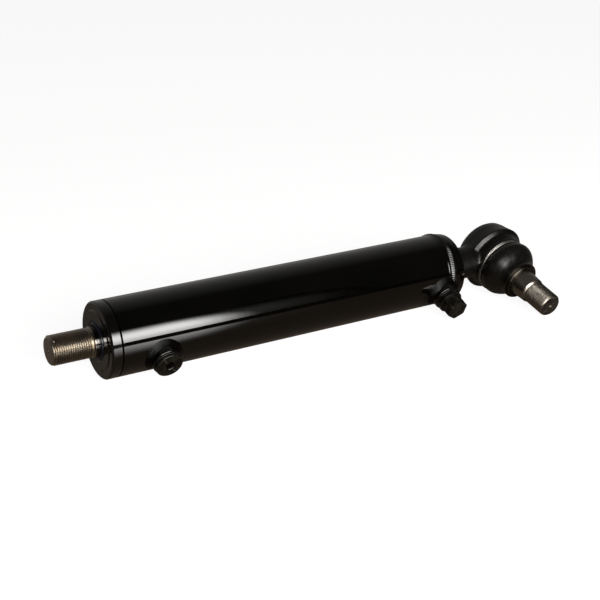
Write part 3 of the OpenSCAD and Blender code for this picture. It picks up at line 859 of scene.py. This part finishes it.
def surface_of(distance, lowest, highest, step):
    """Quads over the zero level of a distance function (surface nets), pulled on to it."""
    axes = [np.arange(a, b + step, step) for a, b in zip(lowest, highest)]
    field = np.stack(np.meshgrid(*axes, indexing="ij"), -1)
    value = distance(field)
    sign = value < 0
    nx, ny, nz = (n - 1 for n in value.shape)
    total = np.zeros((nx, ny, nz, 3))
    count = np.zeros((nx, ny, nz))
    offsets = [(i, j, k) for i in (0, 1) for j in (0, 1) for k in (0, 1)]
    for a in offsets:
        for axis in range(3):
            if a[axis]:
                continue
            b = tuple(a[i] + (i == axis) for i in range(3))
            va = value[a[0]:a[0] + nx, a[1]:a[1] + ny, a[2]:a[2] + nz]
            vb = value[b[0]:b[0] + nx, b[1]:b[1] + ny, b[2]:b[2] + nz]
            hit = (va < 0) != (vb < 0)
            t = np.where(hit, va / np.where(hit, va - vb, 1), 0)
            for i in range(3):
                total[..., i] += np.where(hit, a[i] + (t if i == axis else 0), 0)
            count += hit
    used = count > 0
    index = np.full(used.shape, -1)
    index[used] = np.arange(used.sum())
    cells = np.argwhere(used)
    points = np.array(lowest) + (cells + total[used] / count[used][:, None]) * step
    quads = []
    for axis in range(3):
        u, v = [i for i in range(3) if i != axis]
        first = [slice(1, n) for n in (nx, ny, nz)]
        first[axis] = slice(0, (nx, ny, nz)[axis])
        here = sign[tuple(first)]
        ahead = list(first)
        ahead[axis] = slice(1, (nx, ny, nz)[axis] + 1)
        edge = np.argwhere(here != sign[tuple(ahead)])
        for i in range(3):
            if i != axis:
                edge[:, i] += 1
        corners = []
        for du, dv in ((1, 1), (0, 1), (0, 0), (1, 0)):
            at = edge.copy()
            at[:, u] -= du
            at[:, v] -= dv
            corners.append(index[at[:, 0], at[:, 1], at[:, 2]])
        quads.append(np.stack(corners, 1))
    for _ in range(3):
        h = step * 0.02
        d = distance(points)
        slope = np.stack([(distance(points + h * e) - d) / h for e in np.eye(3)], -1)
        slope /= np.maximum(np.linalg.norm(slope, axis=1)[:, None], 0.5)
        points = points - slope * np.clip(d, -step / 2, step / 2)[:, None]
    return points, np.concatenate(quads)


def make_housing():
    """The forged housing of the ball joint, blended into its shank."""
    shape = surface_of(housing_distance, (-36.5, -36.5, -24.5), (CAP_FACE_X + 5.5, 36.5, 17.5), 0.62)
    return build("ball_joint_forging", shape, ON_STUD, "barrel", CAST_PAINT,
                 ["ball_joint_housing"], crease=50)


def curve_through(points, count):
    """A smooth line through [radius, z] points."""
    p = np.array(points, float)
    ghost = np.vstack([2 * p[0] - p[1], p, 2 * p[-1] - p[-2]])
    at = np.linspace(0, len(p) - 1 - 1e-9, count)
    i = at.astype(int)
    t = (at - i)[:, None]
    a, b, c, d = (ghost[i + k] for k in range(4))
    square, cube = 2 * a - 5 * b + 4 * c - d, 3 * b - a - 3 * c + d
    return 0.5 * (2 * b + (c - a) * t + square * t ** 2 + cube * t ** 3)


def make_boot():
    """The rubber boot: a clamped lip, a soft bulge and a narrow end in the collar."""
    top = TAPER_Z0 - 0.3
    outside = curve_through([
        (28.9, 19.7), (28.6, 20.6), (29.2, 22.0), (29.8, 24.6), (29.5, 27.6), (27.9, 31.3), (25.2, 35.3),
        (22.5, 38.9), (20.7, 41.9), (19.9, 44.6), (19.7, top),
    ], 72)
    inside = curve_through([
        (16.9, top), (17.6, 42.5), (19.6, 38.4), (22.6, 34.0), (25.4, 29.6), (27.0, 25.6), (27.0, 22.0),
        (25.6, 18.6), (22.7, 15.8),
    ], 48)
    lip = rounded([
        (22.7, 15.8), (28.9, 15.8, 0.3), (28.35, 16.2, 0.1), (28.35, 19.0, 0.2), (29.0, 19.25, 0.2),
        (28.9, 19.7),
    ])
    profile = [*lip, *outside[1:], *inside, (22.7, 15.8)]
    points, faces = turned(profile, 192)
    # The soft bell leans a little away from the rod's end
    lean = np.sin(np.pi * np.clip((points[:, 2] - 19) / (45 - 19), 0, 1))
    points[:, 0] -= 1.2 * lean
    points[:, 1] -= 0.8 * lean
    boot = build("rubber_boot", (points, faces), ON_STUD, "ball_seats", BOOT_RUBBER,
                 ["boot"], crease=40)
    boot.parent = None
    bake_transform(boot)
    return boot


def smooth_turns(turns):
    """How many pitches a winding has climbed: each turn lies level and steps up over its last sixth."""
    part = np.clip((turns - np.floor(turns) - 0.83) / 0.17, 0, 1)
    return np.minimum(np.floor(turns) + part * part * (3 - 2 * part), 1.0)


def make_boot_wire():
    """The wire wound twice round the boot's large end."""
    turns, wire_r, steps, sides, pitch = 2.0, 0.55, 400, 12, 1.75
    angle = np.linspace(0, 2 * np.pi * turns, steps + 1)
    side = np.linspace(0, 2 * np.pi, sides + 1)
    r = 28.95 + wire_r * np.cos(side)[:, None]
    z = 16.75 + wire_r * np.sin(side)[:, None] + pitch * smooth_turns(angle / (2 * np.pi))
    points = np.stack([r * np.cos(angle), r * np.sin(angle), z], -1)
    ends = [list(range(at, sides * (steps + 1), steps + 1)) for at in (0, steps)]
    faces = [*grid_quads(sides + 1, steps + 1).tolist(), *ends]
    return build("boot_wire_ring", (points.reshape(-1, 3), faces), ON_STUD, "barrel",
                 SPRING, ["boot_wire"], crease=60)


def make_boot_collar():
    """The stepped steel collar on the stud's taper, over the boot's narrow end."""
    inner = TAPER_R0 + 0.05
    profile = ring_profile([
        (inner, TAPER_Z0), (20, TAPER_Z0, 0.4), (20, TAPER_Z0 + 2.4, 0.9), (17.5, TAPER_Z0 + 2.0, 0.3),
        (17.5, COLLAR_Z1, 0.9), (inner, COLLAR_Z1, 0.3),
    ])
    return build("boot_collar_ring", turned(profile, 160), ON_STUD, "boot_collar",
                 COLLAR_BLACK, ["boot_collar"])


def make_stud():
    """The ball stud: ball, neck, taper, groove and M24 x 1.5 thread with a centre hole."""
    root = STUD_THREAD_R - THREAD_DEPTH * STUD_PITCH
    neck = 11.0
    ball_flat = 7.0
    start_z = -math.sqrt(BALL_R ** 2 - ball_flat ** 2)
    neck_z = math.sqrt(BALL_R ** 2 - neck ** 2)
    polar = np.linspace(math.acos(start_z / BALL_R), math.acos(neck_z / BALL_R), 60)
    ball = [(BALL_R * math.sin(a), BALL_R * math.cos(a)) for a in polar]
    before = [(0, -17), (ball_flat - 0.4, -17), *ball, *rounded([
        ball[-1], (neck, neck_z + 1.5, 0.8), (neck, 36, 2.0), (TAPER_R0, TAPER_Z0 - 1, 0.6),
        (TAPER_R0, COLLAR_Z1, 0.4), (TAPER_R1, TAPER_Z1 - 1.1, 0.3), (TAPER_R1 - 0.9, TAPER_Z1, 0.3),
        (root, TAPER_Z1 + 0.9, 0.3),
        (root, GROOVE_Z1)])[1:]]
    chamfer = 1.7
    rim = STUD_THREAD_R - chamfer
    after = rounded([
        (rim, STUD_END), (rim - 0.5, STUD_END, 0.1), (1.9, STUD_END, 0.1), (0.8, STUD_END - 2.2, 0.2),
        (0, STUD_END - 2.4),
    ])
    shape = threaded(before, after, STUD_THREAD_R, STUD_PITCH, GROOVE_Z1, STUD_END, chamfer, 192)
    return build("threaded_stud", shape, ON_STUD, "stud", STUD_STEEL, ["ball_stud"],
                 crease=40)


# --------------------------------------------------- materials on CAD nodes

CAD_LOOKS = {
    "gland_lock_wire": SPRING,
    "gland_o_ring": SEAL_BLACK,
    "gland_backup_ring": WHITE_RESIN,
    "rod_seal": RED_SEAL,
    "rod_guide_ring": GUIDE,
    "piston": CAST_IRON,
    "piston_o_ring": SEAL_BLACK,
    "piston_nut": ZINC,
    "piston_seal": GREEN_SEAL,
    "piston_guide_rings": GUIDE,
    "upper_ball_seat": WHITE_RESIN,
    "lower_ball_seat": WHITE_RESIN,
    "preload_spring": SPRING,
    "housing_cover": CAST_PAINT,
    "snap_ring": SPRING,
}


def dress_cad_nodes():
    """Gives each CAD node that is kept its material."""
    for node, look in CAD_LOOKS.items():
        obj = frame["nodes"][node]
        obj.data.materials.clear()
        obj.data.materials.append(look)


# ------------------------------------------------------- floor, light, camera


def studio_sheet(name, corners):
    """A flat sheet that belongs to the studio, not to the object."""
    mesh = bpy.data.meshes.new(name)
    mesh.from_pydata(corners, [], [(0, 1, 2, 3)])
    sheet = bpy.data.objects.new(name, mesh)
    bpy.context.scene.collection.objects.link(sheet)
    return sheet


def make_floor():
    """The floor under the cylinder.

    The camera sees it pale and self-lit. Every other ray, in reflections and
    bounced light, sees a brown that turns nearly black further out.
    """
    size = 6.0
    z = cad_low.z - 0.0002
    floor = studio_sheet("floor", [(-size, -size, z), (size, -size, z), (size, size, z), (-size, size, z)])
    look = Look("pale_floor", Roughness=0.13, IOR=1.5)
    near = look.span(look.node("ShaderNodeSeparateXYZ", {0: look.place}).outputs["Y"], 0.28, 0.22)
    look.color(look.mix(near, (0.01, 0.009, 0.008), (0.20, 0.158, 0.122)))
    look.give(look.shader.inputs["Specular IOR Level"], look.maths("MULTIPLY", near, 0.33))
    pale = look.node("ShaderNodeBsdfDiffuse", {"Color": (0.24, 0.24, 0.24, 1.0)}).outputs[0]
    glow = look.node("ShaderNodeEmission", {"Color": (1, 1, 1, 1), "Strength": 0.9}).outputs[0]
    seen = look.node("ShaderNodeAddShader", {0: pale, 1: glow}).outputs[0]
    camera_ray = look.node("ShaderNodeLightPath").outputs["Is Camera Ray"]
    mixed = look.node("ShaderNodeMixShader", {0: camera_ray, 1: look.shader.outputs[0], 2: seen}).outputs[0]
    look.give(look.tree.nodes["Material Output"].inputs["Surface"], mixed)
    floor.data.materials.append(look.material)


def make_softbox():
    """A large softbox on the port side, brightest in its middle, with soft far edges."""
    width, height, strength, tail = 2.0, 1.05, 17.5, 0.30
    box = studio_sheet("softbox", [(0, 0, 0), (width, 0, 0), (width, 0, height), (0, 0, height)])
    box.location = (-0.44 - tail, 1.45, 0.03)
    look = Look("softbox_cloth")
    split = look.node("ShaderNodeSeparateXYZ", {0: look.place})
    faint = look.span(split.outputs["X"], 0.0, tail + 0.05, 0.0, 0.022)
    side = look.maths("ADD", faint, look.span(split.outputs["X"], tail, tail + 0.18))
    foot = look.span(split.outputs["Z"], 0.0, 0.38, 0.58, 1.0)
    head = look.span(split.outputs["Z"], height, 0.45, 0.03, 1.0)
    level = look.maths("MULTIPLY", look.maths("MULTIPLY", side, foot), head)
    glow = look.node("ShaderNodeEmission", {
        "Color": (1.0, 0.99, 0.97, 1.0), "Strength": look.maths("MULTIPLY", level, strength)}).outputs[0]
    look.give(look.tree.nodes["Material Output"].inputs["Surface"], glow)
    box.data.materials.append(look.material)


def make_world():
    """A dim room, lighter towards -Y, behind the cylinder."""
    world = bpy.data.worlds.new("studio")
    bpy.context.scene.world = world
    world.use_nodes = True
    tree = world.node_tree
    back = tree.nodes["Background"]
    place = tree.nodes.new("ShaderNodeTexCoord")
    split = tree.nodes.new("ShaderNodeSeparateXYZ")
    ramp = tree.nodes.new("ShaderNodeMapRange")
    tree.links.new(place.outputs["Generated"], split.inputs[0])
    tree.links.new(split.outputs["Y"], ramp.inputs["Value"])
    for socket, value in (("From Min", 0.0), ("From Max", -1.0), ("To Min", 0.04), ("To Max", 0.42)):
        ramp.inputs[socket].default_value = value
    tree.links.new(ramp.outputs[0], back.inputs["Strength"])
    back.inputs["Color"].default_value = (1.0, 0.98, 0.95, 1.0)


def make_camera():
    """The camera, where the picture was taken from."""
    data = bpy.data.cameras.new("camera")
    data.lens = 71.24
    data.sensor_width = 36.0
    data.clip_start = 0.05
    camera = bpy.data.objects.new("camera", data)
    bpy.context.scene.collection.objects.link(camera)
    azimuth, elevation = math.radians(148.607), math.radians(20.62)
    back = Vector((math.sin(azimuth) * math.cos(elevation), -math.cos(azimuth) * math.cos(elevation),
                   math.sin(elevation)))
    camera.location = (0.7881, 0.9052, 0.3964)
    camera.rotation_euler = (-back).to_track_quat("-Z", "Y").to_euler()
    bpy.context.scene.camera = camera


# --------------------------------------------------------------------- build

make_tube()
make_end_cap()
make_girth_weld()
make_shank_weld()
make_boss("rod_port_boss_turned", "rod_port_boss", ON_ROD_PORT)
make_boss("cap_port_boss_turned", "cap_port_boss", ON_CAP_PORT)
make_port_weld("rod_port_fillet", "rod_port_weld", ON_ROD_PORT, 3)
make_port_weld("cap_port_fillet", "cap_port_weld", ON_CAP_PORT, 5)
make_washer("rod_port_seal_ring", "rod_port_washer", ON_ROD_PORT)
make_washer("cap_port_seal_ring", "cap_port_washer", ON_CAP_PORT)
make_socket_plug()
make_hex_plug()
make_gland()
make_wiper()
make_rod()
make_housing()
make_boot()
make_boot_wire()
make_boot_collar()
make_stud()
dress_cad_nodes()
make_floor()
make_softbox()
make_world()
make_camera()
bpy.context.scene.view_settings.view_transform = "Standard"
